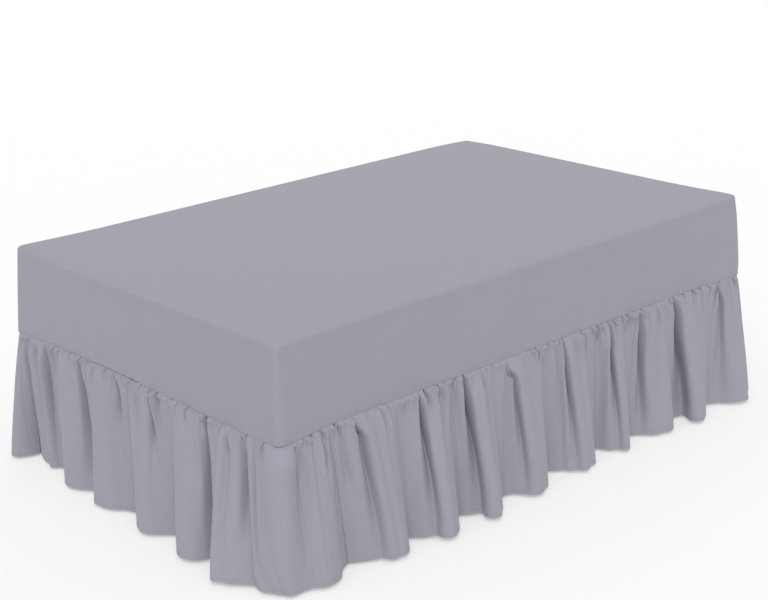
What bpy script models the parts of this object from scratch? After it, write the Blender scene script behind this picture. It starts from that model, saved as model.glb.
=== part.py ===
"""A gathered bed skirt, sewn to its fitted top, on a small double mattress and a plain base.

Units are metres. +Z is up, +X is the bed's right-hand side seen from the foot, +Y runs from the
foot to the head, and the origin is the middle of the base's underside, on the floor.
"""

import math
from collections import namedtuple

import bmesh
import bpy
from mathutils import Vector

# Driving sizes of the bed
MATTRESS_WIDTH = 1.20
MATTRESS_LENGTH = 1.90
MATTRESS_DEPTH = 0.255
MATTRESS_CORNER = 0.025  # radius of the upright corners
MATTRESS_EDGE = 0.014  # radius of the top and bottom edges
CROWN = 0.005  # how far the middle of the mattress stands above its edges
CROWN_REACH = 0.22  # the middle is level from this far in
SMALLEST_CORNER = 0.012  # radius of the upright corners where they run in over the top
BASE_HEIGHT = 0.400
BASE_INSET = 0.015  # the base is this much smaller than the mattress on each side
BASE_CORNER = 0.025

# Driving sizes of the cloth
CLOTH = 0.0015  # thickness
CLEAR = 0.002  # between the mattress and the cloth drawn over it
TOUCH = 0.0003  # between pieces that meet
SEAM_HEIGHT = 0.4020  # lower edge of the fitted top's walls
SPREAD = 0.008  # how far the walls' lower edge stands out from their tops
SLACK = 0.002  # how far the walls bulge at mid height where they aren't drawn tight
SLACK_WAVE = 0.31  # length of the walls' slow waves
HEM_CLEARANCE = 0.008  # between the floor and the hem in the valleys
HEM_RISE = 0.40  # the hem lifts by this times the square of how far it stands out
HEADING = 0.02  # the frill hangs straight down for this share of its drop
FLARE = 1.6  # how early the frill swings out below its heading: 1 is a straight slope
FOLD_CURL = 0.5  # 0 gives folds like a sine wave, and more gives them steeper sides
JOIN = 0.004  # a strip runs level for this far at each end, where it is sewn to the next strip

FRILL_ROWS = (0.0, HEADING, 0.08, 0.18, 0.32, 0.50, 0.74, 1.0)  # shares of the frill's drop
STEPS_IN_A_FLANK = 4  # columns of cloth between a crest and the next valley

# The frill's folds round half of the bed, from the left end of the foot to the right end of the head.
# Places are measured at the hem along the mattress's edge, from the middle of the foot and round the
# right-hand corner. A fold is a crest and the valley after it, each with how far it stands out from
# the mattress's side, and lean is how far the fold moves along from its seam to its hem. The other
# half of the bed has the same folds, turned half a turn.
Turn = namedtuple("Turn", "place out lean")
Fold = namedtuple("Fold", "crest crest_out valley valley_out lean")
HALF_WAY_ROUND = MATTRESS_WIDTH + MATTRESS_LENGTH - (4 - math.pi) * MATTRESS_CORNER
FIRST_JOIN = Turn(-0.550, 0.010, 0.000)
FOOT_STRIP = (
    Fold(-0.475, 0.036, -0.400, 0.014, 0.055),
    Fold(-0.300, 0.090, -0.175, 0.040, 0.080),
    Fold(-0.120, 0.098, 0.030, 0.034, 0.100),
    Fold(0.108, 0.110, 0.215, 0.038, 0.110),
    Fold(0.312, 0.127, 0.385, 0.070, 0.080),
    Fold(0.470, 0.146, 0.560, 0.080, 0.060),
    Fold(0.587, 0.099, 0.607, 0.084, 0.010),
    Fold(0.664, 0.105, 0.764, 0.028, -0.030),
)
SECOND_JOIN = Turn(FOOT_STRIP[-1].valley, FOOT_STRIP[-1].valley_out, FOOT_STRIP[-1].lean)
SIDE_STRIP = (
    Fold(0.899, 0.122, 0.979, 0.034, 0.000),
    Fold(1.074, 0.132, 1.172, 0.034, 0.000),
    Fold(1.251, 0.126, 1.344, 0.022, 0.010),
    Fold(1.459, 0.115, 1.572, 0.012, 0.020),
    Fold(1.675, 0.101, 1.782, 0.011, 0.000),
    Fold(1.861, 0.092, 1.934, 0.014, 0.010),
    Fold(2.069, 0.090, 2.144, 0.016, -0.010),
    Fold(2.207, 0.104, 2.309, 0.018, 0.000),
    Fold(2.424, 0.080, 2.464, 0.070, -0.008),
    Fold(2.489, 0.075, FIRST_JOIN.place + HALF_WAY_ROUND, FIRST_JOIN.out, 0.000),
)

# Colours, as linear red, green and blue
CLOTH_COLOUR = (0.36, 0.35, 0.41, 1.0)
TICKING_COLOUR = (0.80, 0.78, 0.73, 1.0)
BASE_COLOUR = (0.62, 0.60, 0.56, 1.0)
CLOTH_ROUGHNESS = 0.9


def smoothstep(t):
    """Eases from 0 to 1 with level ends."""
    t = min(max(t, 0.0), 1.0)
    return t * t * (3 - 2 * t)


def cloth_material(name, colour):
    """A plain woven finish of one colour."""
    made = bpy.data.materials.new(name)
    made.use_nodes = True
    shader = made.node_tree.nodes["Principled BSDF"]
    shader.inputs["Base Color"].default_value = colour
    shader.inputs["Roughness"].default_value = CLOTH_ROUGHNESS
    shader.inputs["Metallic"].default_value = 0.0
    made.diffuse_color = colour
    return made


def add_object(name, mesh, collection, material):
    """Puts a mesh in the scene under its node's name."""
    placed = bpy.data.objects.new(name, mesh)
    placed.data.materials.append(material)
    collection.objects.link(placed)
    return placed


def thicken(sheet):
    """Gives a sheet of cloth its thickness, half to each side."""
    solid = sheet.modifiers.new("thickness", "SOLIDIFY")
    solid.thickness = CLOTH
    solid.offset = 0.0


def woven_grid(name, columns, rows, place, wrap=False, fill_above=0.0):
    """A grid of columns by rows cells, with each corner put where place(column, row) says.

    A grid that wraps has its last column on its first, and its rims above fill_above are filled.
    """
    shape = bmesh.new()
    bmesh.ops.create_grid(shape, x_segments=columns, y_segments=rows, size=0.5)
    for vert in shape.verts:
        column = round((vert.co.x + 0.5) * columns)
        row = round((vert.co.y + 0.5) * rows)
        vert.co = place(column, row)
    if wrap:
        bmesh.ops.remove_doubles(shape, verts=shape.verts, dist=0.00005)
        rims = [e for e in shape.edges if e.is_boundary and e.verts[0].co.z > fill_above]
        bmesh.ops.holes_fill(shape, edges=rims)
        bmesh.ops.recalc_face_normals(shape, faces=shape.faces)
    mesh = bpy.data.meshes.new(name)
    shape.to_mesh(mesh)
    shape.free()
    mesh.shade_smooth()
    return mesh


def rounded_outline(width, length, radius, across_steps, along_steps, corner_steps):
    """Points round a rectangle with round corners, anticlockwise from the right end of the foot."""
    half_x = width / 2 - radius
    half_y = length / 2 - radius
    corners = ((half_x, -half_y, -90), (half_x, half_y, 0), (-half_x, half_y, 90), (-half_x, -half_y, 180))
    points = []
    for number, (x, y, start) in enumerate(corners):
        for step in range(corner_steps + 1):
            angle = math.radians(start + 90 * step / corner_steps)
            points.append(Vector((x + radius * math.cos(angle), y + radius * math.sin(angle))))
        next_x, next_y, next_start = corners[(number + 1) % 4]
        turned = math.radians(next_start)
        begin = points[-1]
        end = Vector((next_x + radius * math.cos(turned), next_y + radius * math.sin(turned)))
        steps = along_steps if number % 2 == 0 else across_steps
        points += [begin.lerp(end, step / steps) for step in range(1, steps)]
    return points


def mattress_ring(inset, across_steps, along_steps, corner_steps):
    """The mattress's outline, moved in by inset, or out where inset is below 0."""
    radius = max(MATTRESS_CORNER - inset, SMALLEST_CORNER)
    width = MATTRESS_WIDTH - 2 * inset
    length = MATTRESS_LENGTH - 2 * inset
    return rounded_outline(width, length, radius, across_steps, along_steps, corner_steps)


def side_to_crown(gap, low):
    """(inset, height) of rows from low up the side, over the edge and onto the crown.

    The rows lie outside the mattress by gap.
    """
    top = BASE_HEIGHT + TOUCH + MATTRESS_DEPTH
    shoulder = top - CROWN - MATTRESS_EDGE
    rows = [(-gap, low + (shoulder - low) * share) for share in (0.0, 0.15, 0.5, 0.85, 1.0)]
    for degrees in (30, 60, 90):
        turned = math.radians(degrees)
        reach = MATTRESS_EDGE + gap
        rows.append((MATTRESS_EDGE - reach * math.cos(turned), shoulder + reach * math.sin(turned)))
    for share in (0.25, 0.55, 1.0):
        inset = MATTRESS_EDGE + (CROWN_REACH - MATTRESS_EDGE) * share
        rows.append((inset, top - CROWN * (1 - smoothstep(share)) + gap))
    return rows


def make_base(collection, material):
    """The base: a plain upright box with round corners, flat on the floor."""
    width = MATTRESS_WIDTH - 2 * BASE_INSET
    length = MATTRESS_LENGTH - 2 * BASE_INSET
    shape = bmesh.new()
    bmesh.ops.create_cube(shape, size=1.0)
    for vert in shape.verts:
        vert.co = Vector((vert.co.x * width, vert.co.y * length, (vert.co.z + 0.5) * BASE_HEIGHT))
    upright = [e for e in shape.edges if abs(e.verts[0].co.z - e.verts[1].co.z) > BASE_HEIGHT / 2]
    bmesh.ops.bevel(shape, geom=upright, offset=BASE_CORNER, segments=5, profile=0.5, affect="EDGES")
    mesh = bpy.data.meshes.new("bed_base")
    shape.to_mesh(mesh)
    shape.free()
    add_object("bed_base", mesh, collection, material)


def make_mattress(collection, material):
    """The mattress: a rounded block with a slight crown, just clear of the base."""
    low = BASE_HEIGHT + TOUCH
    rows = [(MATTRESS_EDGE, low), (MATTRESS_EDGE * 0.3, low + MATTRESS_EDGE * 0.3)]
    rows += side_to_crown(0.0, low + MATTRESS_EDGE)
    rings = [mattress_ring(inset, 1, 1, 4) for inset, _ in rows]
    columns = len(rings[0])

    def place(column, row):
        return rings[row][column % columns].to_3d() + Vector((0, 0, rows[row][1]))

    mesh = woven_grid("mattress", columns, len(rows) - 1, place, wrap=True)
    add_object("mattress", mesh, collection, material)


def outward(flat):
    """The level direction straight out from the mattress's side, or out of its corner's arc."""
    half_x = MATTRESS_WIDTH / 2 - MATTRESS_CORNER
    half_y = MATTRESS_LENGTH / 2 - MATTRESS_CORNER
    core = Vector((min(max(flat.x, -half_x), half_x), min(max(flat.y, -half_y), half_y)))
    return (flat - core).normalized()


def wall_stand_off(height, along):
    """How far the fitted top's walls stand off the mattress.

    They spread evenly towards their lower edge, and bulge a little at mid height in slow waves.
    """
    share = min((height - SEAM_HEIGHT) / (BASE_HEIGHT + MATTRESS_DEPTH - SEAM_HEIGHT), 1.0)
    bulge = math.sin(math.pi * share) * (0.6 + 0.4 * math.sin(2 * math.pi * along / SLACK_WAVE))
    return SPREAD * (1 - share) + SLACK * bulge


def make_fitted_top(collection, material):
    """The fitted top: one sheet over the mattress and down its four sides, open below."""
    rows = side_to_crown(CLEAR + CLOTH / 2, SEAM_HEIGHT)
    rings = [mattress_ring(inset, 5, 8, 4) for inset, _ in rows]
    columns = len(rings[0])
    walked = [0.0]
    for before, after in zip(rings[0], rings[0][1:]):
        walked.append(walked[-1] + (after - before).length)

    def place(column, row):
        flat = rings[row][column % columns]
        height = rows[row][1]
        off = wall_stand_off(height, walked[column % columns])
        return (flat + outward(flat) * off).to_3d() + Vector((0, 0, height))

    mesh = woven_grid("fitted_top", columns, len(rows) - 1, place, wrap=True, fill_above=BASE_HEIGHT + 0.1)
    add_object("fitted_top", mesh, collection, material)
    thicken(bpy.data.objects["fitted_top"])


def edge_point(place, out):
    """The level point that is out from the mattress's side, place along its edge."""
    straights = (MATTRESS_WIDTH - 2 * MATTRESS_CORNER, MATTRESS_LENGTH - 2 * MATTRESS_CORNER)
    arc = MATTRESS_CORNER * math.pi / 2
    core = Vector((-straights[0] / 2, -straights[1] / 2))
    heading = 0.0
    left = place + straights[0] / 2
    for number in range(4):
        step = min(left, straights[number % 2])
        core += step * Vector((math.cos(heading), math.sin(heading)))
        left -= step
        turn = min(left, arc)
        heading += turn / MATTRESS_CORNER
        left -= turn
        if left <= 0:
            break
    facing = Vector((math.sin(heading), -math.cos(heading)))
    return core + (MATTRESS_CORNER + out) * facing


def fold_turns(start, folds):
    """The crests and valleys of a strip in order, from the valley that it starts in."""
    turns = [start]
    for fold in folds:
        turns.append(Turn(fold.crest, fold.crest_out, fold.lean))
        turns.append(Turn(fold.valley, fold.valley_out, fold.lean))
    return turns


def hem_columns(turns):
    """(place at the seam, place at the hem, out at the hem) of each column of a strip.

    Between a crest and a valley the cloth swings in with level ends, and it moves along fastest
    at the crest and in the valley, which makes the folds round and their sides steep. The strip
    starts and ends level, half of TOUCH short of the middle of the valley that it shares.
    """
    start, end = turns[0], turns[-1]
    near_start, near_end = start.place + TOUCH / 2, end.place - TOUCH / 2
    inner = [start._replace(place=start.place + JOIN)] + turns[1:-1] + [end._replace(place=end.place - JOIN)]
    columns = [(near_start - start.lean, near_start, start.out)]
    for turn, following in zip(inner, inner[1:]):
        for step in range(STEPS_IN_A_FLANK):
            t = step / STEPS_IN_A_FLANK
            along = t + FOLD_CURL * math.sin(2 * math.pi * t) / (2 * math.pi)
            at_hem = turn.place + (following.place - turn.place) * along
            at_seam = at_hem - (turn.lean + (following.lean - turn.lean) * t)
            columns.append((at_seam, at_hem, turn.out + (following.out - turn.out) * smoothstep(t)))
    columns.append((end.place - JOIN - end.lean, end.place - JOIN, end.out))
    columns.append((near_end - end.lean, near_end, end.out))
    return columns


def frill_point(column, down):
    """A point of the frill: its column of cloth, and down from 0 at the seam to 1 at the hem."""
    at_seam, at_hem, hem_out = column
    hung = max(0.0, (down - HEADING) / (1 - HEADING))
    swing = 1 - (1 - hung) ** FLARE
    seam_out = CLEAR + CLOTH / 2 + SPREAD
    flat = edge_point(at_seam + (at_hem - at_seam) * hung, seam_out + (hem_out - seam_out) * swing)
    top = SEAM_HEIGHT - TOUCH
    low = HEM_CLEARANCE + HEM_RISE * hem_out ** 2
    return flat.to_3d() + Vector((0, 0, top + (low - top) * down))


def make_frill_strip(name, start, folds, turned, collection, material):
    """One strip of the frill: a gathered length of cloth that hangs from the seam to its hem.

    A turned strip is the same strip, turned half a turn to the bed's other side.
    """
    columns = hem_columns(fold_turns(start, folds))
    sign = -1 if turned else 1

    def place(column, row):
        point = frill_point(columns[column], FRILL_ROWS[-1 - row])
        return Vector((point.x * sign, point.y * sign, point.z))

    mesh = woven_grid(name, len(columns) - 1, len(FRILL_ROWS) - 1, place)
    add_object(name, mesh, collection, material)
    thicken(bpy.data.objects[name])


def main():
    for old in list(bpy.data.objects):
        bpy.data.objects.remove(old)
    collection = bpy.data.collections.new("bed_skirt")
    bpy.context.scene.collection.children.link(collection)
    skirt_cloth = cloth_material("skirt_cloth", CLOTH_COLOUR)
    ticking = cloth_material("mattress_ticking", TICKING_COLOUR)
    base_cloth = cloth_material("base_cloth", BASE_COLOUR)

    make_base(collection, base_cloth)
    make_mattress(collection, ticking)
    make_fitted_top(collection, skirt_cloth)
    make_frill_strip("frill_foot", FIRST_JOIN, FOOT_STRIP, False, collection, skirt_cloth)
    make_frill_strip("frill_right", SECOND_JOIN, SIDE_STRIP, False, collection, skirt_cloth)
    make_frill_strip("frill_head", FIRST_JOIN, FOOT_STRIP, True, collection, skirt_cloth)
    make_frill_strip("frill_left", SECOND_JOIN, SIDE_STRIP, True, collection, skirt_cloth)


main()
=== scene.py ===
# %% [markdown]
# # A gathered bed skirt
#
# A bed skirt of this kind is a fitted sheet with a frill. The sheet covers the mattress and its four
# sides, and a long gathered strip of the same cloth is sewn to the sides' lower edge and hangs to just
# above the floor. Everything here is thin cloth, so every surface is a grid of points that numpy works
# out in one go, and a Solidify modifier gives it its thickness.

# %% Load the frame
import math
from collections import namedtuple

import bmesh
import bpy
import numpy as np
from mathutils import Matrix, Vector


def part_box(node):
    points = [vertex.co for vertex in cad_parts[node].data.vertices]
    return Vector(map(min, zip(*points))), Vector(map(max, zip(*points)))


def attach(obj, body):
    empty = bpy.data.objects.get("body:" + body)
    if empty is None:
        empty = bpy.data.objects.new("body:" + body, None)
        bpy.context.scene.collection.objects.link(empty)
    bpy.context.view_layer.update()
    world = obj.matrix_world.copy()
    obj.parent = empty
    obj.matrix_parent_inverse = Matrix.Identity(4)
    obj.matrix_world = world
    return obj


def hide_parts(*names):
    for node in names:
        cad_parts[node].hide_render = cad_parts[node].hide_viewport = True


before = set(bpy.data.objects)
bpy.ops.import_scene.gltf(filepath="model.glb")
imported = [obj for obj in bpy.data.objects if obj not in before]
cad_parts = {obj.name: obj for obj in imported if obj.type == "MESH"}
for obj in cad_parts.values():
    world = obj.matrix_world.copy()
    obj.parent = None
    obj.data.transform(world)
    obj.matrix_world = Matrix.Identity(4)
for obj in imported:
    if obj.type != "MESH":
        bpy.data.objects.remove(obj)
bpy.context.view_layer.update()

# %% [markdown]
# ## The camera
#
# The photograph was taken from beyond the bed's right-hand foot corner, a little above the mattress,
# with a long lens. A camera's place and angles can be worked out from where a few corners fall in the
# picture. They are written here as real sizes, so that the frame stays a bed of true size.

# %% The camera
CAMERA_PLACE = Vector((3.632, -3.369, 2.067))
CAMERA_HEADING = math.radians(-47.41)  # turned from +Y towards -X
CAMERA_DIP = math.radians(18.55)
CAMERA_ROLL = math.radians(-1.23)
PICTURE_WIDTH = 768
FOCAL_PIXELS = 1674.0
SENSOR_WIDTH = 36.0


def camera_axes(heading, dip, roll):
    """Right, up and forward: forward from the two angles, then right and up turned by the roll."""
    level_share = math.cos(dip)
    forward = Vector((math.sin(heading) * level_share, math.cos(heading) * level_share, -math.sin(dip)))
    level = Vector((math.cos(heading), -math.sin(heading), 0))
    upright = level.cross(forward)
    right = math.cos(roll) * level + math.sin(roll) * upright
    up = math.cos(roll) * upright - math.sin(roll) * level
    return right, up, forward


def make_camera():
    """A camera whose columns are right, up and backward."""
    right, up, forward = camera_axes(CAMERA_HEADING, CAMERA_DIP, CAMERA_ROLL)
    settings = bpy.data.cameras.new("camera")
    settings.sensor_width = SENSOR_WIDTH
    settings.lens = FOCAL_PIXELS / PICTURE_WIDTH * SENSOR_WIDTH
    settings.clip_end = 60
    camera = bpy.data.objects.new("camera", settings)
    turned = Matrix((right, up, -forward)).transposed().to_4x4()
    camera.matrix_world = Matrix.Translation(CAMERA_PLACE) @ turned
    bpy.context.scene.collection.objects.link(camera)
    bpy.context.scene.camera = camera
    return camera


print("the lens is", round(make_camera().data.lens, 1), "mm")

# %% [markdown]
# ## Sizes
#
# The sizes that the solids already have are read off the frame. The rest is what the frame can't say,
# such as how thick the cloth is, and how far it stands off the mattress.

# %% Sizes of the bed and the cloth
mattress_low, mattress_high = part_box("mattress")
HALF_WIDTH = mattress_high.x
HALF_LENGTH = mattress_high.y
SEAM_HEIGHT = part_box("fitted_top")[0].z
MATTRESS_CORNER = 0.025  # radius of the upright corners
CLOTH_CORNER = 0.013  # the sewn corners of the cloth are sharper than the mattress inside
LEAST_CORNER = 0.010  # and the rings on the top have at least this radius
CLOTH_EDGE = 0.009  # radius of the turn from the walls into the top
EDGE_HEIGHT = 0.661  # where the cloth turns from the walls into the top
CROWN = 0.004  # how much higher the middle of the top lies
CROWN_REACH = 0.22
GAP = 0.00275  # from the mattress to the middle of the cloth
THICKNESS = 0.0009
SPREAD = 0.008  # how far the walls' lower edge stands out from their tops
SLACK = 0.002  # how far the walls bulge, in waves of this length along them
SLACK_WAVE = 0.31
CORNER_STAND = 0.012  # the seam stands out further at the left foot corner and the right head corner
CORNER_STAND_REACH = 0.14
SEAM_DROOP = 0.015  # at the other two corners the seam hangs lower
DROOP_REACH = (0.55, 0.14)  # before the corner and after it

print("the mattress is", round(2 * HALF_WIDTH, 3), "by", round(2 * HALF_LENGTH, 3), "m")
print("the seam is", round(SEAM_HEIGHT, 4), "m above the floor")


# %% Helpers for curves
def smooth(t):
    """Eases from 0 to 1 with level ends: 3 t squared less 2 t cubed."""
    t = np.clip(t, 0.0, 1.0)
    return t * t * (3 - 2 * t)


def hill(distance, width):
    """A bell curve: 1 at no distance, and about a third at one width."""
    return np.exp(-((distance / width) ** 2))


def path_length(x, y):
    """Distance walked along a path of points, from 0."""
    return np.concatenate([[0], np.cumsum(np.hypot(np.diff(x), np.diff(y)))])


def seam_droop(from_corner):
    """How far the seam hangs down near a drooping corner: half a bell curve on each side of it."""
    return SEAM_DROOP * hill(from_corner, np.where(from_corner < 0, *DROOP_REACH))


# %% [markdown]
# ## Putting a grid into a mesh
#
# A sheet is a grid of points, row by row. Small gathers need a fine grid, but only near the seam. So
# each row here has a stride: it uses every point, every second one or every fourth. Where the stride
# doubles from one row to the next, a cell takes the finer row's extra point as a fifth corner.

# %% Sheets from grids
def banded_cells(strides, columns):
    """Which grid points are used, and the cells between them as lists of the used points' numbers."""
    used = np.zeros((len(strides), columns), bool)
    for row, stride in enumerate(strides):
        used[row, ::stride] = True
    number = np.cumsum(used.ravel()).reshape(used.shape) - 1
    cells = []
    for row, (stride, following) in enumerate(zip(strides, strides[1:])):
        first = np.arange(0, columns - 1, following)
        corners = [number[row, first], number[row + 1, first], number[row + 1, first + following]]
        corners.append(number[row, first + following])
        if stride != following:
            corners.append(number[row, first + stride])
        cells += np.stack(corners, axis=-1).tolist()
    return used, cells


def make_sheet(name, points, cloth_places, strides, turned_over=False):
    """A smooth-shaded sheet at the origin, from grids of points and of places on the cloth in metres.

    The places go into a UV map. Points that fall together, as where a ring closes, are merged.
    """
    used, cells = banded_cells(strides, points.shape[1])
    if turned_over:
        cells = [cell[::-1] for cell in cells]
    mesh = bpy.data.meshes.new(name)
    mesh.from_pydata(points[used].tolist(), [], cells)
    corners = np.zeros(len(mesh.loops), np.int32)
    mesh.loops.foreach_get("vertex_index", corners)
    mesh.uv_layers.new(name="cloth").data.foreach_set("uv", cloth_places[used][corners].ravel())
    shape = bmesh.new()
    shape.from_mesh(mesh)
    bmesh.ops.remove_doubles(shape, verts=shape.verts, dist=0.00001)
    shape.to_mesh(mesh)
    shape.free()
    mesh.shade_smooth()
    piece = bpy.data.objects.new(name, mesh)
    bpy.context.scene.collection.objects.link(piece)
    return piece


def thicken(piece, thickness=THICKNESS):
    """Gives a sheet its thickness, half to each side."""
    solid = piece.modifiers.new("thickness", "SOLIDIFY")
    solid.thickness = thickness
    solid.offset = 0.0


print("rows of 5 and 3 points give", len(banded_cells((1, 2), 5)[1]), "cells")

# %% [markdown]
# ## Creases
#
# Cloth that is gathered or pulled has creases of many sizes. Each size is a field of crests and
# valleys that follow each other along the cloth. The valleys are narrower than the crests, as they
# are in real cloth, where the crests are held out by the air behind them.

# %% A field of creases
Creases = namedtuple("Creases", "spacing height starts reach seed")
CREASE_GAPS = (0.40, 1.60)  # the least and the greatest gap between two turns, in spacings
CREASE_HEIGHTS = (0.20, 1.70)  # the least share of the height, and what the greatest has more
CREASE_REACHES = (0.45, 1.50)
VALLEY_SHARPNESS = 0.62


def mostly_small(rng, least, extra, count):
    """Random shares: least plus extra times a random share squared, so that most of them are small."""
    return least + extra * rng.random(count) ** 2


def crease_field(along, down, kind):
    """Heights of creases, as an array of columns by rows, for places along and down the cloth.

    A crease rises over the distance kind.starts and fades as a bell curve of its own reach. From a
    valley to a crest, the height follows smooth(share) to a power below 1, which sharpens valleys.
    """
    rng = np.random.default_rng(kind.seed)
    count = 2 * (int((along.max() - along.min()) / kind.spacing) // 2) + 8
    gaps = kind.spacing * rng.uniform(*CREASE_GAPS, count)
    knots = along.min() - 2 * kind.spacing + np.cumsum(gaps)
    gaps = np.append(np.diff(knots), kind.spacing)
    direction = np.where(np.arange(count) % 2, 1, -1)
    heights = kind.height * mostly_small(rng, *CREASE_HEIGHTS, count) * direction
    reach = kind.reach * mostly_small(rng, *CREASE_REACHES, count)
    rise = smooth(down / kind.starts) if kind.starts else np.ones_like(down)
    profile = heights[:, None] * rise[None, :] * hill(down[None, :], reach[:, None])
    before = np.clip(np.searchsorted(knots, along, side="right") - 1, 0, count - 2)
    share = smooth((along - knots[before]) / gaps[before])
    from_valley = before % 2 == 0
    valley = np.where(from_valley[:, None], profile[before], profile[before + 1])
    crest = np.where(from_valley[:, None], profile[before + 1], profile[before])
    share = np.where(from_valley, share, 1 - share) ** VALLEY_SHARPNESS
    return valley + (crest - valley) * share[:, None]


# %% [markdown]
# ## The fitted top
#
# The top is drawn over the mattress like a fitted sheet. A grid of rings suits it: each ring is the
# mattress's outline, moved out or in, and the rings climb the walls, turn over the edge and close in
# the middle. The real cloth isn't perfectly flat, so a few quiet waves, the puckers along the seam and
# the sewn corners are added to how far each point stands out.

# %% Rings round the mattress
CORNER_STEPS = 16
ACROSS_STEPS = 232
ALONG_STEPS = 372


def ring_stations():
    """For each point of a ring: where its corner's centre lies, from -1 to 1 each way, and its heading.

    The ring starts at the left end of the foot, runs anticlockwise seen from above, and ends where it
    starts.
    """
    places, headings = [], []
    ends = ((-1, -1), (1, -1), (1, 1), (-1, 1), (-1, -1))
    for side, steps in enumerate((ACROSS_STEPS, ALONG_STEPS, ACROSS_STEPS, ALONG_STEPS)):
        share = np.arange(steps)[:, None] / steps
        places.append(np.array(ends[side]) * (1 - share) + np.array(ends[side + 1]) * share)
        headings.append(np.full(steps, side * math.pi / 2))
        places.append(np.full((CORNER_STEPS, 2), ends[side + 1], float))
        headings.append((side + np.arange(CORNER_STEPS) / CORNER_STEPS) * math.pi / 2)
    places.append(np.array([ends[0]], float))
    headings.append(np.array([2 * math.pi]))
    return np.concatenate(places), np.concatenate(headings)


def ring_points(inset, places, headings):
    """The outline moved in by inset: a corner's centre plus its radius along the heading."""
    radius = np.minimum(np.maximum(CLOTH_CORNER - inset, LEAST_CORNER), HALF_WIDTH - inset)
    half = np.stack([HALF_WIDTH - inset - radius, HALF_LENGTH - inset - radius], axis=-1)
    facing = np.stack([np.sin(headings), -np.cos(headings)], axis=-1)
    return places * half + radius[..., None] * facing


ring_places, ring_headings = ring_stations()
print("a ring has", len(ring_headings), "points")

# %% The walls' own unevenness
WALL_WAVES = Creases(spacing=0.15, height=0.0016, starts=0.0, reach=0.30, seed=3)
WALL_WAVES_START = 0.05
SEAM_PUCKERS = Creases(spacing=0.016, height=0.0010, starts=0.0, reach=0.014, seed=4)
UNEVEN_SHARE = 0.75  # above this share of the wall it grows smooth
RING_END_FADE = 0.04
BULGE_MEAN = 0.6
BULGE_SWING = 0.4
DART_HEIGHT = 0.0012
DART_WIDTH = 0.0028
DART_PUCKERS = 0.0009
DART_PUCKER_SPACING = 0.0135
PUCKERS_BESIDE = 0.024  # from the dart to the middle of its puckers
PUCKERS_BESIDE_REACH = 0.017
PUCKERS_ABOVE = 0.090  # from the seam to the middle of the dart's puckers
PUCKERS_ABOVE_REACH = 0.030
WALL = EDGE_HEIGHT - CLOTH_EDGE - SEAM_HEIGHT


def wall_stand_off(along, rise, from_corner, spread):
    """How far the walls stand off the mattress, as an array of stations by rows.

    Each station's spread runs evenly from the seam to the top. The bulge is a half sine wave up the
    wall times a slow sine wave along it. To these are added the slow waves, the puckers above the
    seam, the dart sewn up each corner, which is a narrow ridge, and the level puckers beside it.
    """
    share = np.clip(rise / WALL, 0, 1)
    ends = smooth(np.minimum(along, along[-1] - along) / RING_END_FADE)
    fade = (1 - smooth((share - UNEVEN_SHARE) / (1 - UNEVEN_SHARE)))[None, :] * ends[:, None]
    wave = BULGE_MEAN + BULGE_SWING * np.sin(2 * np.pi * along / SLACK_WAVE)
    off = spread[:, None] * (1 - share)[None, :] + SLACK * np.sin(np.pi * share)[None, :] * wave[:, None]
    off = off + fade * crease_field(along, rise, SEAM_PUCKERS)
    off = off + fade * crease_field(along, rise, WALL_WAVES) * smooth(rise / WALL_WAVES_START)[None, :]
    off = off + fade * DART_HEIGHT * hill(from_corner, DART_WIDTH)[:, None]
    beside = hill(from_corner - PUCKERS_BESIDE, PUCKERS_BESIDE_REACH)
    above = hill(rise - PUCKERS_ABOVE, PUCKERS_ABOVE_REACH)
    puckers = above * np.sin(2 * np.pi * rise / DART_PUCKER_SPACING)
    return off + DART_PUCKERS * beside[:, None] * puckers[None, :]


# %% The fitted top's surface
SEAM_ROWS = np.array([0, 2.5, 5.5, 9, 13, 18, 24, 31, 39, 46]) / 1000
DART_ROWS = np.arange(0.052, 0.130, 0.0036)
UPPER_ROWS = np.arange(0.138, WALL - 0.004, 0.0098)
EDGE_STEPS = 8
INWARD_ROWS = np.concatenate([[0.013, 0.018, 0.025, 0.035, 0.05], np.linspace(0.07, HALF_WIDTH, 18)])
TOP_WAVE = 0.00055
TOP_WAVE_STARTS = 0.10
CORNER_SAG = 0.0045  # the two corners that droop have gone soft
CORNER_SAG_REACH = 0.09
CORNER_LIFT = 0.005  # and the other two are held up
CORNER_LIFT_REACH = 0.16


def top_rows():
    """Inset, height and stride of each ring: up the wall, round a quarter circle, then inwards."""
    quarter = np.linspace(0, np.pi / 2, EDGE_STEPS + 1)
    reach = CLOTH_EDGE + GAP
    up_wall = np.concatenate([SEAM_ROWS, DART_ROWS, UPPER_ROWS])
    insets = np.concatenate([np.full(len(up_wall), -GAP), CLOTH_EDGE - reach * np.cos(quarter), INWARD_ROWS])
    level = EDGE_HEIGHT - CLOTH_EDGE - GAP
    crown = CROWN * smooth((INWARD_ROWS - CLOTH_EDGE) / CROWN_REACH)
    heights = np.concatenate([SEAM_HEIGHT + up_wall, level + reach * np.sin(quarter), EDGE_HEIGHT + crown])
    fine, coarse = len(SEAM_ROWS) - 1, len(INWARD_ROWS) - 3
    strides = [1] * fine + [2] * (len(insets) - fine - coarse) + [4] * coarse
    return insets, heights, strides


def ripples(x, y):
    """Three slow sine waves that cross the top in different directions."""
    first = np.sin(9.1 * x + 3.3 * y + 0.4)
    second = 0.7 * np.sin(5.2 * x - 8.7 * y + 1.9)
    return first + second + 0.5 * np.sin(17.3 * x + 11.9 * y)


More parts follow.
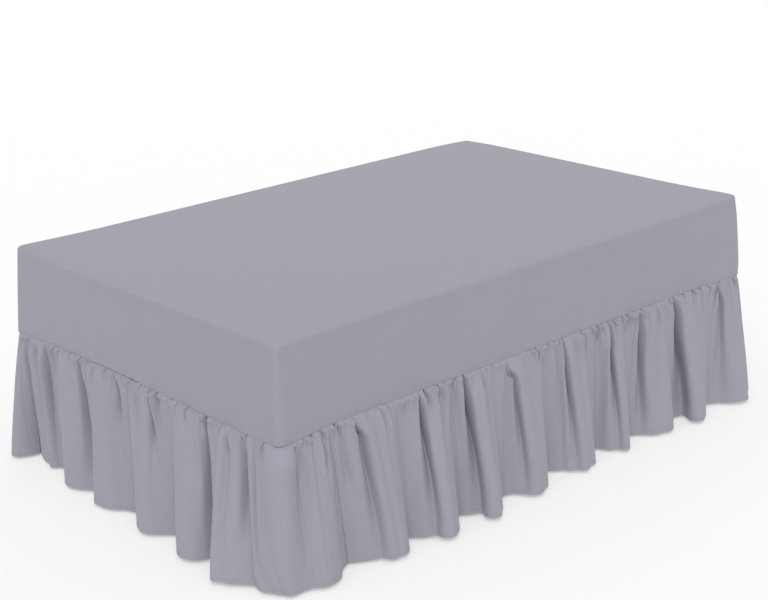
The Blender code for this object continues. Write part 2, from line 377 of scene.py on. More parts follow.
def nearest_corners(along):
    """The signed distance from each station to its nearest corner along the ring, and that corner.

    Corners are counted from 0 at the right foot corner. The even ones droop and the odd ones stand out.
    """
    straights = np.array([ACROSS_STEPS, ALONG_STEPS, ACROSS_STEPS, ALONG_STEPS])
    middles = np.cumsum(straights + CORNER_STEPS) - CORNER_STEPS // 2
    signed = along[:, None] - along[middles][None, :] + along[-1] / 2
    signed = signed % along[-1] - along[-1] / 2
    nearest = np.abs(signed).argmin(axis=1)
    return signed[np.arange(len(along)), nearest], nearest


def make_fitted_top():
    """The whole fitted top as one grid of rings, whose last ring falls together along a middle line.

    A point stands out from its ring by the wall's stand-off. Its height is its row's, plus the top's
    ripples and the corner's sag or lift, less the seam's droop, which fades evenly up the wall.
    """
    insets, heights, strides = top_rows()
    shape = (len(ring_headings), len(insets))
    places = np.broadcast_to(ring_places[:, None, :], shape + (2,))
    headings = np.broadcast_to(ring_headings[:, None], shape)
    flat = ring_points(np.broadcast_to(insets, shape), places, headings)
    along = path_length(*flat[:, 0].T)
    from_corner, corner = nearest_corners(along)
    standing = corner % 2
    spread = SPREAD + CORNER_STAND * hill(from_corner, CORNER_STAND_REACH) * standing
    droop = seam_droop(from_corner) * (1 - standing)
    off = wall_stand_off(along, heights - SEAM_HEIGHT, from_corner, spread)
    facing = np.stack([np.sin(ring_headings), -np.cos(ring_headings)], axis=-1)
    outline = flat + facing[:, None, :] * off[..., None]
    x, y = flat[..., 0], flat[..., 1]
    on_top = smooth((insets - CLOTH_EDGE) / TOP_WAVE_STARTS)[None, :]
    z = heights[None, :] + TOP_WAVE * ripples(x, y) * on_top
    diagonal = x / HALF_WIDTH * (y / HALF_LENGTH) < 0
    distance = np.hypot(np.abs(x) - HALF_WIDTH, np.abs(y) - HALF_LENGTH)
    sag = -CORNER_SAG * hill(distance, CORNER_SAG_REACH)
    lift = CORNER_LIFT * hill(distance, CORNER_LIFT_REACH)
    share = np.clip((heights - SEAM_HEIGHT) / WALL, 0, 1)[None, :]
    z = z + np.where(diagonal, sag, lift) * smooth(share) ** 2 - droop[:, None] * (1 - share)
    outline[-1], z[-1] = outline[0], z[0]
    points = np.concatenate([outline, z[..., None]], axis=-1).transpose(1, 0, 2)
    on_wall = np.stack(np.broadcast_arrays(along[None, :], path_length(insets, heights)[:, None]), axis=-1)
    is_top = (insets > CLOTH_EDGE)[:, None, None]
    cloth_places = np.where(is_top, points[..., :2], on_wall)
    piece = make_sheet("skirt_top", points, cloth_places, strides, turned_over=True)
    thicken(piece)
    return piece


skirt_top = make_fitted_top()
print("the fitted top has", len(skirt_top.data.polygons), "cells")

# %% [markdown]
# ## The frill's folds
#
# A gathered frill hangs in folds that nobody plans, so these are placed one by one, in two short
# tables. A fold is a crest and the valley after it: where each falls along the bed's edge at the hem,
# and how far it stands out there. A tuck is a narrow deep pleat. It has a place at the hem and one at
# the seam, so the tucks also say where the cloth between them starts from.

# %% The table of folds
Turn = namedtuple("Turn", "place out seam_place")
Fold = namedtuple("Fold", "crest crest_out valley valley_out")
HALF_WAY_ROUND = 2 * HALF_WIDTH + 2 * HALF_LENGTH - (4 - math.pi) * MATTRESS_CORNER
FIRST_JOIN = Turn(-0.569, -0.004, -0.550)
FOOT_STRIP = (
    Fold(-0.458, 0.029, -0.405, 0.008),
    Fold(-0.296, 0.074, -0.196, 0.024),
    Fold(-0.136, 0.086, 0.010, 0.024),
    Fold(0.100, 0.100, 0.208, 0.026),
    Fold(0.312, 0.114, 0.390, 0.050),
    Fold(0.476, 0.136, 0.568, 0.070),
    Fold(0.594, 0.083, 0.608, 0.076),
    Fold(0.661, 0.104, 0.768, 0.038),
)
SECOND_JOIN = Turn(FOOT_STRIP[-1].valley, FOOT_STRIP[-1].valley_out, 0.742)
SIDE_STRIP = (
    Fold(0.903, 0.118, 0.982, 0.044),
    Fold(1.068, 0.136, 1.182, 0.044),
    Fold(1.246, 0.130, 1.362, 0.036),
    Fold(1.438, 0.121, 1.570, 0.020),
    Fold(1.660, 0.107, 1.796, 0.014),
    Fold(1.848, 0.098, 1.934, 0.024),
    Fold(2.054, 0.098, 2.148, 0.034),
    Fold(2.192, 0.116, 2.318, 0.040),
    Fold(2.432, 0.119, 2.468, 0.076),
    Fold(2.494, 0.080, FIRST_JOIN.place + HALF_WAY_ROUND, FIRST_JOIN.out),
)
THIRD_SEAM_PLACE = FIRST_JOIN.seam_place + HALF_WAY_ROUND
THIRD_JOIN = Turn(SIDE_STRIP[-1].valley, SIDE_STRIP[-1].valley_out, THIRD_SEAM_PLACE)
print("the frill has", 2 * (len(FOOT_STRIP) + len(SIDE_STRIP)), "main folds in all")


# %% The table of tucks
Tuck = namedtuple("Tuck", "place seam_place depth width fades hook")
FOOT_TUCKS = (
    Tuck(-0.430, -0.455, 0.014, 0.010, 0.95, 0.000),
    Tuck(-0.212, -0.286, 0.034, 0.011, 0.75, 0.006),
    Tuck(-0.172, -0.232, 0.018, 0.007, 0.12, 0.006),
    Tuck(-0.040, -0.099, 0.022, 0.009, 0.14, 0.000),
    Tuck(0.036, -0.025, 0.020, 0.008, 0.10, 0.000),
    Tuck(0.156, 0.068, 0.018, 0.010, 0.22, 0.000),
    Tuck(0.384, 0.318, 0.036, 0.011, 1.20, -0.008),
    Tuck(0.556, 0.470, 0.022, 0.011, 0.52, -0.004),
    Tuck(0.588, 0.520, 0.012, 0.009, 0.95, 0.000),
    Tuck(0.606, 0.625, 0.020, 0.012, 0.85, 0.000),
    Tuck(0.700, 0.712, 0.014, 0.009, 0.15, 0.000),
)
SIDE_TUCKS = (
    Tuck(0.800, 0.777, 0.014, 0.010, 0.30, 0.000),
    Tuck(0.842, 0.845, 0.024, 0.010, 0.90, -0.026),
    Tuck(1.028, 1.066, 0.036, 0.010, 1.20, -0.004),
    Tuck(1.212, 1.237, 0.036, 0.010, 1.20, 0.000),
    Tuck(1.402, 1.428, 0.024, 0.010, 0.80, -0.026),
    Tuck(1.628, 1.648, 0.030, 0.009, 0.90, -0.004),
    Tuck(1.828, 1.853, 0.034, 0.010, 1.20, 0.000),
    Tuck(1.974, 1.997, 0.028, 0.008, 0.75, 0.000),
    Tuck(2.162, 2.174, 0.038, 0.012, 1.20, -0.008),
    Tuck(2.350, 2.404, 0.016, 0.013, 0.80, -0.018),
)
print("the frill has", 2 * (len(FOOT_TUCKS) + len(SIDE_TUCKS)), "tucks in all")


# %% From places along the edge to points
def edge_point(place, out):
    """Level points that are out from the mattress's side, place along its edge from the foot's middle.

    The heading is a sum of one clipped ramp for each corner, the centre line's point is a sum of one
    clipped ramp for each straight, and the point lies square to the heading.
    """
    straights = (2 * (HALF_WIDTH - MATTRESS_CORNER), 2 * (HALF_LENGTH - MATTRESS_CORNER))
    arc = MATTRESS_CORNER * math.pi / 2
    walked = place + straights[0] / 2
    x = np.full_like(walked, -straights[0] / 2)
    y = np.full_like(walked, -straights[1] / 2)
    heading = np.zeros_like(walked)
    start = 0.0
    for side in range(4):
        straight = straights[side % 2]
        step = np.clip(walked - start, 0, straight)
        x = x + step * round(math.cos(side * math.pi / 2))
        y = y + step * round(math.sin(side * math.pi / 2))
        start += straight
        heading = heading + np.clip(walked - start, 0, arc) / MATTRESS_CORNER
        start += arc
    away = MATTRESS_CORNER + out
    return x + away * np.sin(heading), y - away * np.cos(heading)


def fold_turns(start, folds, end):
    """The crests and valleys of a strip in order, from the valley that it starts in."""
    turns = [start]
    for fold in folds:
        turns.append(Turn(fold.crest, fold.crest_out, None))
        turns.append(Turn(fold.valley, fold.valley_out, None))
    return turns[:-1] + [end]


# %% Columns of cloth
COLUMN_SPACING = 0.0021
FLANK_POINTS = 300
FOLD_CURL = 0.36
FOLD_ROUNDNESS = 0.55
FOLD_SHARPNESS = 0.8
TUCK_DENSITY = 2.0  # how many columns more there are in a tuck
JOIN_GAP = 0.0003
Columns = namedtuple("Columns", "at_seam at_hem out crestness cloth from_tucks")


def fold_profile(turns):
    """The main folds as closely spaced places at the hem, stand-offs and crestness.

    In the flank between two turns, t runs evenly from 0 to 1. Crestness runs from 0 in a valley to 1 on
    a crest, as a mean of t and smooth(t). The cloth moves along by t plus a sine wave, fastest at the
    turns, which steepens the flanks, and it stands out by crestness to a power below 1.
    """
    t = np.arange(FLANK_POINTS) / FLANK_POINTS
    along = t + FOLD_CURL * np.sin(2 * np.pi * t) / (2 * np.pi)
    parts = []
    for number, (turn, following) in enumerate(zip(turns, turns[1:])):
        at_hem = turn.place + (following.place - turn.place) * along
        rising = t + FOLD_ROUNDNESS * (smooth(t) - t)
        crestness = rising if number % 2 == 0 else 1 - rising
        valley, crest = sorted((turn.out, following.out))
        parts.append(np.stack([at_hem, valley + (crest - valley) * crestness ** FOLD_SHARPNESS, crestness]))
    parts.append(np.array([[turns[-1].place], [turns[-1].out], [0.0]]))
    profile = np.concatenate(parts, axis=1)
    profile[0, 0] += JOIN_GAP / 2
    profile[0, -1] -= JOIN_GAP / 2
    return profile


def strip_columns(turns, tucks):
    """Every column of a strip. The columns are spaced evenly along the cloth, but closer in the tucks.

    At the hem a column lies on the main folds. At the seam the cloth is shared out evenly between one
    tuck's seam place and the next one's.
    """
    at_hem, out, crestness = fold_profile(turns)
    cloth = path_length(*edge_point(at_hem, out))
    middles = np.interp([tuck.place for tuck in tucks], at_hem, cloth)
    seam_places = [turns[0].seam_place + JOIN_GAP / 2] + [tuck.seam_place for tuck in tucks]
    seam_places.append(turns[-1].seam_place - JOIN_GAP / 2)
    at_seam = np.interp(cloth, np.concatenate([[0], middles, cloth[-1:]]), seam_places)
    bells = hill(cloth[:, None] - middles[None, :], np.array([tuck.width for tuck in tucks]))
    crowding = 1 + TUCK_DENSITY * bells.sum(axis=1)
    budget = np.concatenate([[0], np.cumsum(np.diff(cloth) * (crowding[1:] + crowding[:-1]) / 2)])
    count = 2 * round(budget[-1] / COLUMN_SPACING / 2) + 1
    chosen = np.interp(np.linspace(0, budget[-1], count), budget, cloth)
    fields = [np.interp(chosen, cloth, field) for field in (at_seam, at_hem, out, crestness)]
    return Columns(*fields, chosen, chosen[:, None] - middles[None, :])


foot_columns = strip_columns(fold_turns(FIRST_JOIN, FOOT_STRIP, SECOND_JOIN), FOOT_TUCKS)
side_columns = strip_columns(fold_turns(SECOND_JOIN, SIDE_STRIP, THIRD_JOIN), SIDE_TUCKS)
print("a foot strip has", len(foot_columns.cloth), "columns, a side strip", len(side_columns.cloth))
for columns in (foot_columns, side_columns):
    share = np.diff(columns.at_seam) / np.diff(columns.cloth)
    print("metres of seam for a metre of cloth:", round(share.min(), 2), "to", round(share.max(), 2))

# %% [markdown]
# ## From the seam to the hem
#
# Under the seam the cloth comes out in gathers about a centimetre apart. They can't stay that small:
# within a hand's width they run together into larger creases, and those into the main folds. So three
# sizes of crease are laid over the main folds. Each crease has its own height and its own length, and
# the smaller they are, the sooner they fade. The tucks begin at the seam as dark notches between two
# puffs, and run down as far as the table says. Between them lie short notches, where the gathering
# thread has drawn the cloth in. Where the seam stands out at a corner the cloth is drawn almost smooth,
# and at the other corners the seam droops a little under the cloth's weight.

# %% Sizes of the frill
HEM_CLEARANCE = 0.008
HEM_RISE = 0.40  # the hem rises by this times its stand-off squared, as cloth does that swings out
DROP = SEAM_HEIGHT - HEM_CLEARANCE
HEADING = 0.006  # metres of straight drop below the seam
FLARE = 1.2
TUCKED_UP = 0.002  # the frill's upper edge lies this far up behind the wall
TUCKED_IN = 0.0010
TUCKED_IN_OVER = 0.004
PUFF = 0.0040  # the gathers stand out this far, from this far below the seam
PUFF_OVER = 0.008
HEM_DEPTH = 0.010
HEM_RAISE = 0.0005
HEM_STEP = 0.0008
END_FADE = 0.020
LEAST_ROOM = 0.002  # between the frill and the mattress
BASE_RECESS = 0.010  # the cloth may go in this far below the mattress
CORNER_CALM = 0.6  # how much of the creases is smoothed away where the cloth is drawn round a corner
CORNER_CALM_REACH = 0.035
FOOT_CORNER = HALF_WIDTH - MATTRESS_CORNER * (1 - math.pi / 4)  # the right foot corner's place
HEAD_CORNER = FOOT_CORNER + 2 * HALF_LENGTH - MATTRESS_CORNER * (2 - math.pi / 2)
STANDING_CORNERS = (HEAD_CORNER - HALF_WAY_ROUND, HEAD_CORNER)
print("the frill drops", round(DROP, 3), "m")

# %% Sizes of the creases, tucks and notches
GATHERS = Creases(spacing=0.0105, height=0.0048, starts=0.009, reach=0.020, seed=11)
SMALL_CREASES = Creases(spacing=0.022, height=0.0085, starts=0.011, reach=0.070, seed=12)
LONG_CREASES = Creases(spacing=0.042, height=0.0074, starts=0.060, reach=0.50, seed=13)
PINCH = 0.005  # how much deeper the main folds are between the seam and the middle of the drop
PINCH_OVER = 0.03
PUFF_PLACE = 2.0  # from a pleat to the puff beside it, in widths of the pleat
TUCK_PUFF = 0.28  # how far a tuck's sides stand out, as a share of its depth
TUCK_PUFF_WIDTH = 1.2
TUCK_STARTS = 0.013
TUCK_FADES_OVER = 0.12
TUCK_OPENS = 0.12  # below this a tuck opens into a broad groove, which is this much shallower
TUCK_OPENED_LOSS = 0.5
HOOK_WIDTH = 0.012
NOTCH_SEED = 21
NOTCH_SPACING = 0.030
NOTCH_DEPTH = 0.015
NOTCH_WIDTH = 0.0042
NOTCH_LENGTH = 0.018
NOTCH_STARTS = 0.011
NOTCH_PUFF = 0.4
NOTCH_PUFF_WIDTH = 1.3

# Random shares: the least and the greatest, and for lengths the least and what the greatest has more
NOTCH_WIDTHS = (0.7, 1.4)
NOTCH_DEPTHS = (0.3, 1.3)
NOTCH_LENGTHS = (0.5, 1.8)

# Shares that ease down the frill: the first, the last, and the distance in which they change
TUCK_WIDENS = (0.45, 1.0, 0.10)
TUCK_DEEPENS = (0.5, 1.0, 0.14)
TUCK_PUFF_SINKS = (1.0, 0.3, 0.13)

# What fades down the frill: where that starts, and the distance in which it fades
PINCH_FADES = (0.06, 0.20)
HOOK_FADES = (0.020, 0.045)
MATTRESS_ENDS = (0.003, 0.010)


# %% Helpers for the way down
def easing(down, first, last, over):
    """Eases from first at the seam to last at the distance over below it."""
    return first + (last - first) * smooth(down / over)


def fading(down, start, over):
    """Eases from 1 at the distance start below the seam to 0 at the distance over below that."""
    return 1 - smooth((down - start) / over)


def beside_standing_corners(at_seam, reach):
    """A bell curve along the seam round each corner where the seam stands out."""
    return sum(hill(at_seam - corner, reach) for corner in STANDING_CORNERS)


def creased_share(at_seam):
    """The share of the creases that is left where the cloth is drawn round a standing corner."""
    return 1 - CORNER_CALM * beside_standing_corners(at_seam, CORNER_CALM_REACH)


# %% The frill's surface
def pleat(distance, width, puff, puff_width):
    """Across an inward pleat: puff times a bell curve on each side of it, less the pleat's own."""
    beside = hill(np.abs(distance) - PUFF_PLACE * width, puff_width * width)
    return puff * beside - hill(distance, width)


def tuck_heights(columns, down, tucks):
    """The tucks of the table, as an array of columns by rows.

    On the way down a tuck widens and deepens, and near the hem it is a broad soft groove.
    """
    measures = np.array([(tuck.width, tuck.depth, tuck.fades) for tuck in tucks])
    width, depth, fades = measures.T[..., None]
    opened = smooth((down - TUCK_OPENS) / (DROP - TUCK_OPENS))
    widths = width * (easing(down, *TUCK_WIDENS) + opened)
    depths = depth * smooth(down / TUCK_STARTS) * easing(down, *TUCK_DEEPENS)
    depths = depths * (1 - TUCK_OPENED_LOSS * opened) * fading(down, fades * DROP, TUCK_FADES_OVER)
    puff = TUCK_PUFF * easing(down, *TUCK_PUFF_SINKS)
    return (pleat(columns.from_tucks[:, :, None], widths, puff, TUCK_PUFF_WIDTH) * depths).sum(axis=1)


def notch_heights(at_seam, down):
    """Short dark notches under the seam, as an array of columns by rows.

    Their places, widths, depths and lengths are drawn at random. Each is a pleat across, times a bell
    curve downward.
    """
    rng = np.random.default_rng(NOTCH_SEED)
    span = at_seam[-1] - at_seam[0]
    count = int(span / NOTCH_SPACING)
    places = at_seam[0] + span * rng.random(count)
    widths = NOTCH_WIDTH * rng.uniform(*NOTCH_WIDTHS, count)
    depths = NOTCH_DEPTH * rng.uniform(*NOTCH_DEPTHS, count)
    lengths = NOTCH_LENGTH * mostly_small(rng, *NOTCH_LENGTHS, count)
    across = pleat(at_seam[:, None] - places, widths, NOTCH_PUFF, NOTCH_PUFF_WIDTH)
    return (depths * across) @ (smooth(down / NOTCH_STARTS) * hill(down[None, :], lengths[:, None]))


def crease_heights(columns, down, tucks):
    """How far the cloth is pushed outward by its creases and inward by its tucks, columns by rows."""
    kinds = (GATHERS, SMALL_CREASES, LONG_CREASES)
    heights = sum(crease_field(columns.cloth, down, kind) for kind in kinds)
    pinch = smooth(down / PINCH_OVER) * fading(down, *PINCH_FADES)
    heights = heights + PINCH * (2 * np.sqrt(columns.crestness)[:, None] - 1) * pinch[None, :]
    heights = heights + tuck_heights(columns, down, tucks) + notch_heights(columns.at_seam, down)
    ends = smooth(columns.cloth / END_FADE) * smooth((columns.cloth[-1] - columns.cloth) / END_FADE)
    return (ends * creased_share(columns.at_seam))[:, None] * heights


def frill_surface(columns, tucks, down):
    """Points of a strip as an array of rows by columns by 3; down is each row's drop below the seam.

    A point lies along the bed's edge between its column's places at the seam and at the hem, and out
    from it by the seam's stand-off, plus the main fold times the swing. The creases then move it
    square to the folds, but no further in than there is room. A tuck's upper end may be hooked, which
    drags the cloth along the seam.
    """
    hung = np.clip((down - HEADING) / (DROP - HEADING), 0, 1)
    swing = 1 - (1 - hung) ** FLARE
    place = columns.at_seam[:, None] + (columns.at_hem - columns.at_seam)[:, None] * hung[None, :]
    hooks = np.array([tuck.hook for tuck in tucks])[:, None] * fading(down, *HOOK_FADES)[None, :]
    place = place + hill(columns.from_tucks, HOOK_WIDTH) @ hooks
    stand = CORNER_STAND * beside_standing_corners(columns.at_seam, CORNER_STAND_REACH)
    seam_out = (GAP + SPREAD + stand)[:, None]
    out = seam_out + (columns.out[:, None] - seam_out) * swing[None, :]
    out = out + PUFF * creased_share(columns.at_seam)[:, None] * smooth(down / PUFF_OVER)[None, :]
    out = out - TUCKED_IN * fading(down, 0, TUCKED_IN_OVER)[None, :]
    out = out + HEM_RAISE * smooth((down - (DROP - HEM_DEPTH)) / HEM_STEP)[None, :]
    x, y = edge_point(place, out)
    ahead_x, ahead_y = np.gradient(x, axis=0), np.gradient(y, axis=0)
    length = np.hypot(ahead_x, ahead_y)
    room = out - LEAST_ROOM + BASE_RECESS * (1 - fading(down, *MATTRESS_ENDS))[None, :]
    heights = np.maximum(crease_heights(columns, down, tucks), -room)
    x, y = x + heights * ahead_y / length, y - heights * ahead_x / length
    top = SEAM_HEIGHT + TUCKED_UP - seam_droop(columns.at_seam - FOOT_CORNER)
    low = HEM_CLEARANCE + HEM_RISE * columns.out ** 2
    z = top[:, None] + (low - top)[:, None] * (down / DROP)[None, :]
    return np.stack([x, y, z], axis=-1).transpose(1, 0, 2)


# %% Strips of the frill
GATHERED_ROWS = np.array([0, 1.6, 3.6, 6, 9, 12.5, 17, 22, 28, 35, 43, 52, 62]) / 1000
HANGING_ROWS = np.arange(0.074, DROP - 0.020, 0.0135)
HEM_ROWS = DROP - np.array([15, 11.4, 10.2, 9.6, 8.6, 5.5, 2.5, 0.7, 0]) / 1000


def make_strip(name, columns, tucks, turned):
    """A strip of the frill, fine near the seam and half as fine below; turned means half a turn about Z."""
    down = np.concatenate([GATHERED_ROWS, HANGING_ROWS, HEM_ROWS])
    points = frill_surface(columns, tucks, down)
    hem_length = path_length(points[-1, :, 0], points[-1, :, 1])
    if turned:
        points = points * (-1, -1, 1)
    cloth_places = np.stack(np.broadcast_arrays(hem_length[None, :], down[:, None]), axis=-1)
    strides = [1] * len(GATHERED_ROWS) + [2] * (len(down) - len(GATHERED_ROWS))
    piece = make_sheet(name, points, cloth_places, strides)
    thicken(piece)
    return piece, hem_length[-1]


frills, strip_lengths = {}, {}
for node, columns, tucks, turned in (
    ("frill_foot", foot_columns, FOOT_TUCKS, False),
    ("frill_right", side_columns, SIDE_TUCKS, False),
    ("frill_head", foot_columns, FOOT_TUCKS, True),
    ("frill_left", side_columns, SIDE_TUCKS, True),
):
    frills[node], strip_lengths[node] = make_strip("skirt_" + node, columns, tucks, turned)
    print(node, len(frills[node].data.polygons), "cells, cut", round(strip_lengths[node], 2), "m long")


# %% [markdown]
# ## The cloth's finish
#
# The cloth is plain-woven polycotton. Seen close up, its threads go over and under each other in a
# small chequer. From a step away only the slightly thicker threads show, as faint streaks along and
# across, and the cloth's own soft unevenness. Each of these is a node group, used by every cloth.

# %% Building node groups
def new_group(name, inputs, outputs):
    """A shader node group with its sockets: inputs as (name, kind, value) and outputs as (name, kind)."""
    group = bpy.data.node_groups.new(name, "ShaderNodeTree")
    for label, kind, value in inputs:
        socket = group.interface.new_socket(label, in_out="INPUT", socket_type=kind)
        if value is not None:
            socket.default_value = value
    for label, kind in outputs:
        group.interface.new_socket(label, in_out="OUTPUT", socket_type=kind)
    return group, group.nodes.new("NodeGroupInput"), group.nodes.new("NodeGroupOutput")


def math_node(tree, operation, first, second=None, clamp=False):
    """A Math node fed by two sockets or plain numbers, and its output."""
    node = tree.nodes.new("ShaderNodeMath")
    node.operation = operation
    node.use_clamp = clamp
    for slot, value in zip(node.inputs, (first, second)):
        if isinstance(value, bpy.types.NodeSocket):
            tree.links.new(value, slot)
        elif value is not None:
            slot.default_value = value
    return node.outputs[0]


def stretched_noise(tree, vector, scale, stretch, detail):
    """A Noise texture that is read through a Mapping node, drawn out along one axis."""
    mapping = tree.nodes.new("ShaderNodeMapping")
    mapping.inputs["Scale"].default_value = stretch
    tree.links.new(vector, mapping.inputs["Vector"])
    noise = tree.nodes.new("ShaderNodeTexNoise")
    noise.inputs["Scale"].default_value = scale
    noise.inputs["Detail"].default_value = detail
    noise.inputs["Roughness"].default_value = 0.6
    tree.links.new(mapping.outputs["Vector"], noise.inputs["Vector"])
    return noise.outputs["Fac"]


def plain_weave_group():
    """Threads that go over and under: the product of one sine along the cloth and one across it."""
    group, given, gives = new_group(
        "plain_weave",
        [("Vector", "NodeSocketVector", None), ("Threads per metre", "NodeSocketFloat", 1800.0)],
        [("Height", "NodeSocketFloat")],
    )
    split = group.nodes.new("ShaderNodeSeparateXYZ")
    group.links.new(given.outputs["Vector"], split.inputs[0])
    turns = math_node(group, "MULTIPLY", given.outputs["Threads per metre"], math.pi)
    across = math_node(group, "SINE", math_node(group, "MULTIPLY", split.outputs["X"], turns))
    along = math_node(group, "SINE", math_node(group, "MULTIPLY", split.outputs["Y"], turns))
    product = math_node(group, "MULTIPLY", across, along)
    group.links.new(product, gives.inputs["Height"])
    return group


def slub_group():
    """Thicker threads, as faint streaks: noise drawn out along the cloth, plus noise drawn out across."""
    group, given, gives = new_group(
        "slub_threads",
        [("Vector", "NodeSocketVector", None), ("Strength", "NodeSocketFloat", 0.05)],
        [("Shade", "NodeSocketFloat")],
    )
    along = stretched_noise(group, given.outputs["Vector"], 1.0, (420.0, 12.0, 1.0), 2.0)
    across = stretched_noise(group, given.outputs["Vector"], 1.0, (12.0, 420.0, 1.0), 2.0)
    both = math_node(group, "SUBTRACT", math_node(group, "ADD", along, across), 1.0)
    shade = math_node(group, "ADD", math_node(group, "MULTIPLY", both, given.outputs["Strength"]), 1.0)
    group.links.new(shade, gives.inputs["Shade"])
    return group


def rumple_group():
    """Soft unevenness of washed cloth: noise drawn out down the cloth, as a height in metres."""
    group, given, gives = new_group(
        "rumples",
        [
            ("Vector", "NodeSocketVector", None),
            ("Fineness", "NodeSocketFloat", 30.0),
            ("Height in metres", "NodeSocketFloat", 0.0008),
        ],
        [("Height", "NodeSocketFloat")],
    )
    mapping = group.nodes.new("ShaderNodeMapping")
    mapping.inputs["Scale"].default_value = (1.0, 0.35, 1.0)
    group.links.new(given.outputs["Vector"], mapping.inputs["Vector"])
    noise = group.nodes.new("ShaderNodeTexNoise")
    noise.inputs["Detail"].default_value = 3.0
    group.links.new(mapping.outputs["Vector"], noise.inputs["Vector"])
    group.links.new(given.outputs["Fineness"], noise.inputs["Scale"])
    raised = math_node(group, "MULTIPLY", noise.outputs["Fac"], given.outputs["Height in metres"])
    group.links.new(raised, gives.inputs["Height"])
    return group


# Painted shade along the hem's stitching: the length of its dashes and the width of its line.
STITCH_LENGTH = 0.0032
STITCH_SHADE_WIDTH = 0.0022


def painted_stitch_shade_group():
    """Painted shade along a stitched row across the cloth: darker near one distance down it, in dashes along
    it.
    """
    group, given, gives = new_group(
        "painted_stitch_line_shade",
        [
            ("Vector", "NodeSocketVector", None),
            ("Place", "NodeSocketFloat", 0.40),
            ("Strength", "NodeSocketFloat", 0.2),
        ],
        [("Shade", "NodeSocketFloat")],
    )
    split = group.nodes.new("ShaderNodeSeparateXYZ")
    group.links.new(given.outputs["Vector"], split.inputs[0])
    off = math_node(group, "SUBTRACT", split.outputs["Y"], given.outputs["Place"])
    away = math_node(group, "MULTIPLY", math_node(group, "ABSOLUTE", off), 1 / STITCH_SHADE_WIDTH)
    near = math_node(group, "SUBTRACT", 1.0, away, clamp=True)
    turn = math_node(group, "MULTIPLY", split.outputs["X"], 2 * math.pi / STITCH_LENGTH)
    dash = math_node(group, "ADD", math_node(group, "MULTIPLY", math_node(group, "SINE", turn), 0.4), 0.6)
    dark = math_node(group, "MULTIPLY", math_node(group, "MULTIPLY", near, dash), given.outputs["Strength"])
    group.links.new(math_node(group, "SUBTRACT", 1.0, dark), gives.inputs["Shade"])
    return group


PLAIN_WEAVE = plain_weave_group()
PAINTED_STITCH_SHADE = painted_stitch_shade_group()
SLUBS = slub_group()
RUMPLES = rumple_group()
print("node groups:", [group.name for group in bpy.data.node_groups])


# %% The cloth materials
def place_group(tree, group, vector, **values):
    """A node group placed in a material, with its vector linked and its own values."""
    node = tree.nodes.new("ShaderNodeGroup")
    node.node_tree = group
    tree.links.new(vector, node.inputs["Vector"])
    for label, value in values.items():
        node.inputs[label.replace("_", " ")].default_value = value
    return node


# hem is the place down the cloth of the painted shade along the hem's stitching, or None.
Finish = namedtuple("Finish", "colour rumple_height rumple_fineness slub_strength threads uv_map hem")
CLOTH_COLOUR = (0.270, 0.260, 0.306)
FRILL_FINISH = Finish(CLOTH_COLOUR, 0.0012, 34.0, 0.10, 1800.0, "cloth", DROP - HEM_DEPTH)
TOP_FINISH = Finish(CLOTH_COLOUR, 0.0010, 7.0, 0.08, 1800.0, "cloth", None)
TICKING_FINISH = Finish((0.80, 0.78, 0.73), 0.0010, 20.0, 0.08, 900.0, None, None)
BASE_FINISH = Finish((0.62, 0.60, 0.56), 0.0004, 20.0, 0.15, 600.0, None, None)


def cloth_material(name, finish):
    """Woven cloth: its colour times the slubs' shade, and bumps for the weave and the rumples."""
    made = bpy.data.materials.new(name)
    made.use_nodes = True
    tree = made.node_tree
    shader = tree.nodes["Principled BSDF"]
    shader.inputs["Roughness"].default_value = 0.88
    shader.inputs["Sheen Weight"].default_value = 0.15
    shader.inputs["Sheen Roughness"].default_value = 0.5
    shader.inputs["Specular IOR Level"].default_value = 0.2
    if finish.uv_map:
        source = tree.nodes.new("ShaderNodeUVMap")
        source.uv_map = finish.uv_map
        vector = source.outputs["UV"]
    else:
        vector = tree.nodes.new("ShaderNodeTexCoord").outputs["Object"]
    slubs = place_group(tree, SLUBS, vector, Strength=finish.slub_strength)
    tint = tree.nodes.new("ShaderNodeMix")
    tint.data_type = "RGBA"
    tint.blend_type = "MULTIPLY"
    tint.inputs["Factor"].default_value = 1.0
    tint.inputs[6].default_value = (*finish.colour, 1.0)
    shade = slubs.outputs["Shade"]
    # The frill gets a line of painted shade along its hem's stitching.
    if finish.hem:
        stitch_shade_node = place_group(tree, PAINTED_STITCH_SHADE, vector, Place=finish.hem)
        shade = math_node(tree, "MULTIPLY", shade, stitch_shade_node.outputs["Shade"])
    tree.links.new(shade, tint.inputs[7])
    tree.links.new(tint.outputs[2], shader.inputs["Base Color"])
    weave = place_group(tree, PLAIN_WEAVE, vector, Threads_per_metre=finish.threads)
    rumples = place_group(tree, RUMPLES, vector, Fineness=finish.rumple_fineness)
    rumples.inputs["Height in metres"].default_value = finish.rumple_height
    coarse_bump = tree.nodes.new("ShaderNodeBump")
    coarse_bump.inputs["Distance"].default_value = 1.0
    tree.links.new(rumples.outputs["Height"], coarse_bump.inputs["Height"])
    fine_bump = tree.nodes.new("ShaderNodeBump")
    fine_bump.inputs["Distance"].default_value = 0.00008
    fine_bump.inputs["Strength"].default_value = 0.5
    tree.links.new(weave.outputs["Height"], fine_bump.inputs["Height"])
    tree.links.new(coarse_bump.outputs["Normal"], fine_bump.inputs["Normal"])
    tree.links.new(fine_bump.outputs["Normal"], shader.inputs["Normal"])
    return made


frill_cloth = cloth_material("skirt_cloth_frill", FRILL_FINISH)
top_cloth = cloth_material("skirt_cloth_top", TOP_FINISH)
ticking = cloth_material("mattress_ticking", TICKING_FINISH)
base_cloth = cloth_material("base_cloth", BASE_FINISH)

skirt_top.data.materials.append(top_cloth)
for piece in frills.values():
    piece.data.materials.append(frill_cloth)
for node, finish in (("mattress", ticking), ("bed_base", base_cloth)):
    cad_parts[node].data.materials.clear()
    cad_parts[node].data.materials.append(finish)
print("materials:", [material.name for material in bpy.data.materials])

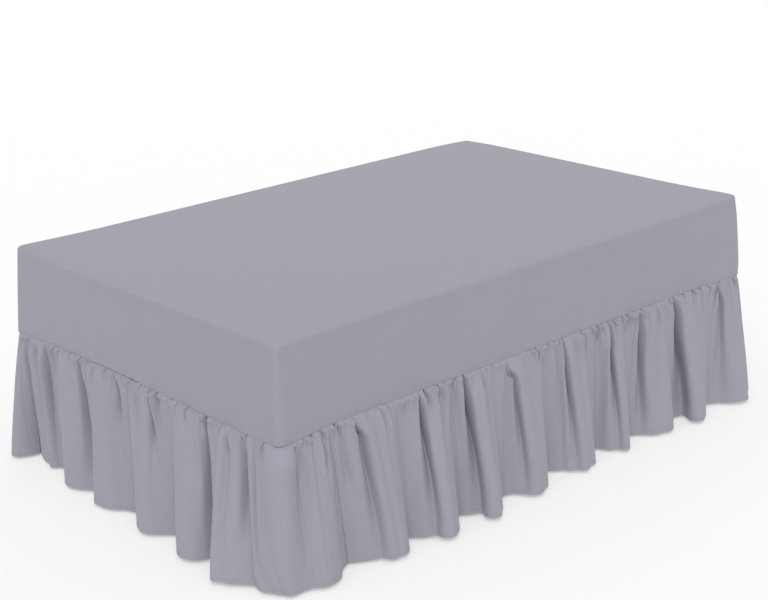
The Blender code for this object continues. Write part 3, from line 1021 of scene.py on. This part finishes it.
# %% [markdown]
# ## Floor and light
#
# The photograph is lit softly from all sides, and the bed stands on white. A wide pale floor and an
# even white sky do most of that. One broad and distant light gives the folds their shape. It comes
# from the camera's side and from well above.

# %% Floor
FLOOR_HALF = 30.0


def make_floor():
    """A plain pale floor, lit a little from within, like a table for photographing things on white."""
    mesh = bpy.data.meshes.new("floor")
    corners = [(-1, -1, 0), (1, -1, 0), (1, 1, 0), (-1, 1, 0)]
    mesh.from_pydata((np.array(corners) * FLOOR_HALF).tolist(), [], [(0, 1, 2, 3)])
    floor = bpy.data.objects.new("floor", mesh)
    bpy.context.scene.collection.objects.link(floor)
    finish = bpy.data.materials.new("floor")
    finish.use_nodes = True
    shader = finish.node_tree.nodes["Principled BSDF"]
    shader.inputs["Base Color"].default_value = (0.45, 0.45, 0.45, 1.0)
    shader.inputs["Roughness"].default_value = 0.9
    shader.inputs["Emission Color"].default_value = (1.0, 1.0, 1.0, 1.0)
    shader.inputs["Emission Strength"].default_value = 0.42
    floor.data.materials.append(finish)
    return floor


print("the floor is", make_floor().dimensions.x, "m wide")


# %% Light
def make_sky(strength):
    """An even white sky."""
    world = bpy.data.worlds.new("sky")
    world.use_nodes = True
    background = world.node_tree.nodes["Background"]
    background.inputs["Color"].default_value = (1.0, 1.0, 1.0, 1.0)
    background.inputs["Strength"].default_value = strength
    bpy.context.scene.world = world


def make_broad_light(name, azimuth, height, spread, strength):
    """A very soft distant light; the angles are in degrees, and azimuth is turned from +X towards +Y."""
    settings = bpy.data.lights.new(name, "SUN")
    settings.angle = math.radians(spread)
    settings.energy = strength
    turn, rise = math.radians(azimuth), math.radians(height)
    coming_from = Vector((math.cos(turn) * math.cos(rise), math.sin(turn) * math.cos(rise), math.sin(rise)))
    light = bpy.data.objects.new(name, settings)
    light.location = 3 * coming_from
    light.rotation_euler = (-coming_from).to_track_quat("-Z", "Y").to_euler()
    bpy.context.scene.collection.objects.link(light)
    return light


make_sky(strength=0.80)
make_broad_light("front light", azimuth=-44.0, height=48.0, spread=30.0, strength=1.85)
bpy.context.scene.view_settings.view_transform = "Standard"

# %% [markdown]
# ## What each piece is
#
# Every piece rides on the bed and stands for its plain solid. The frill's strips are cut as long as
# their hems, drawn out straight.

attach(skirt_top, "root")
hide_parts("fitted_top")
for node, piece in frills.items():
    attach(piece, "root")
    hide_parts(node)
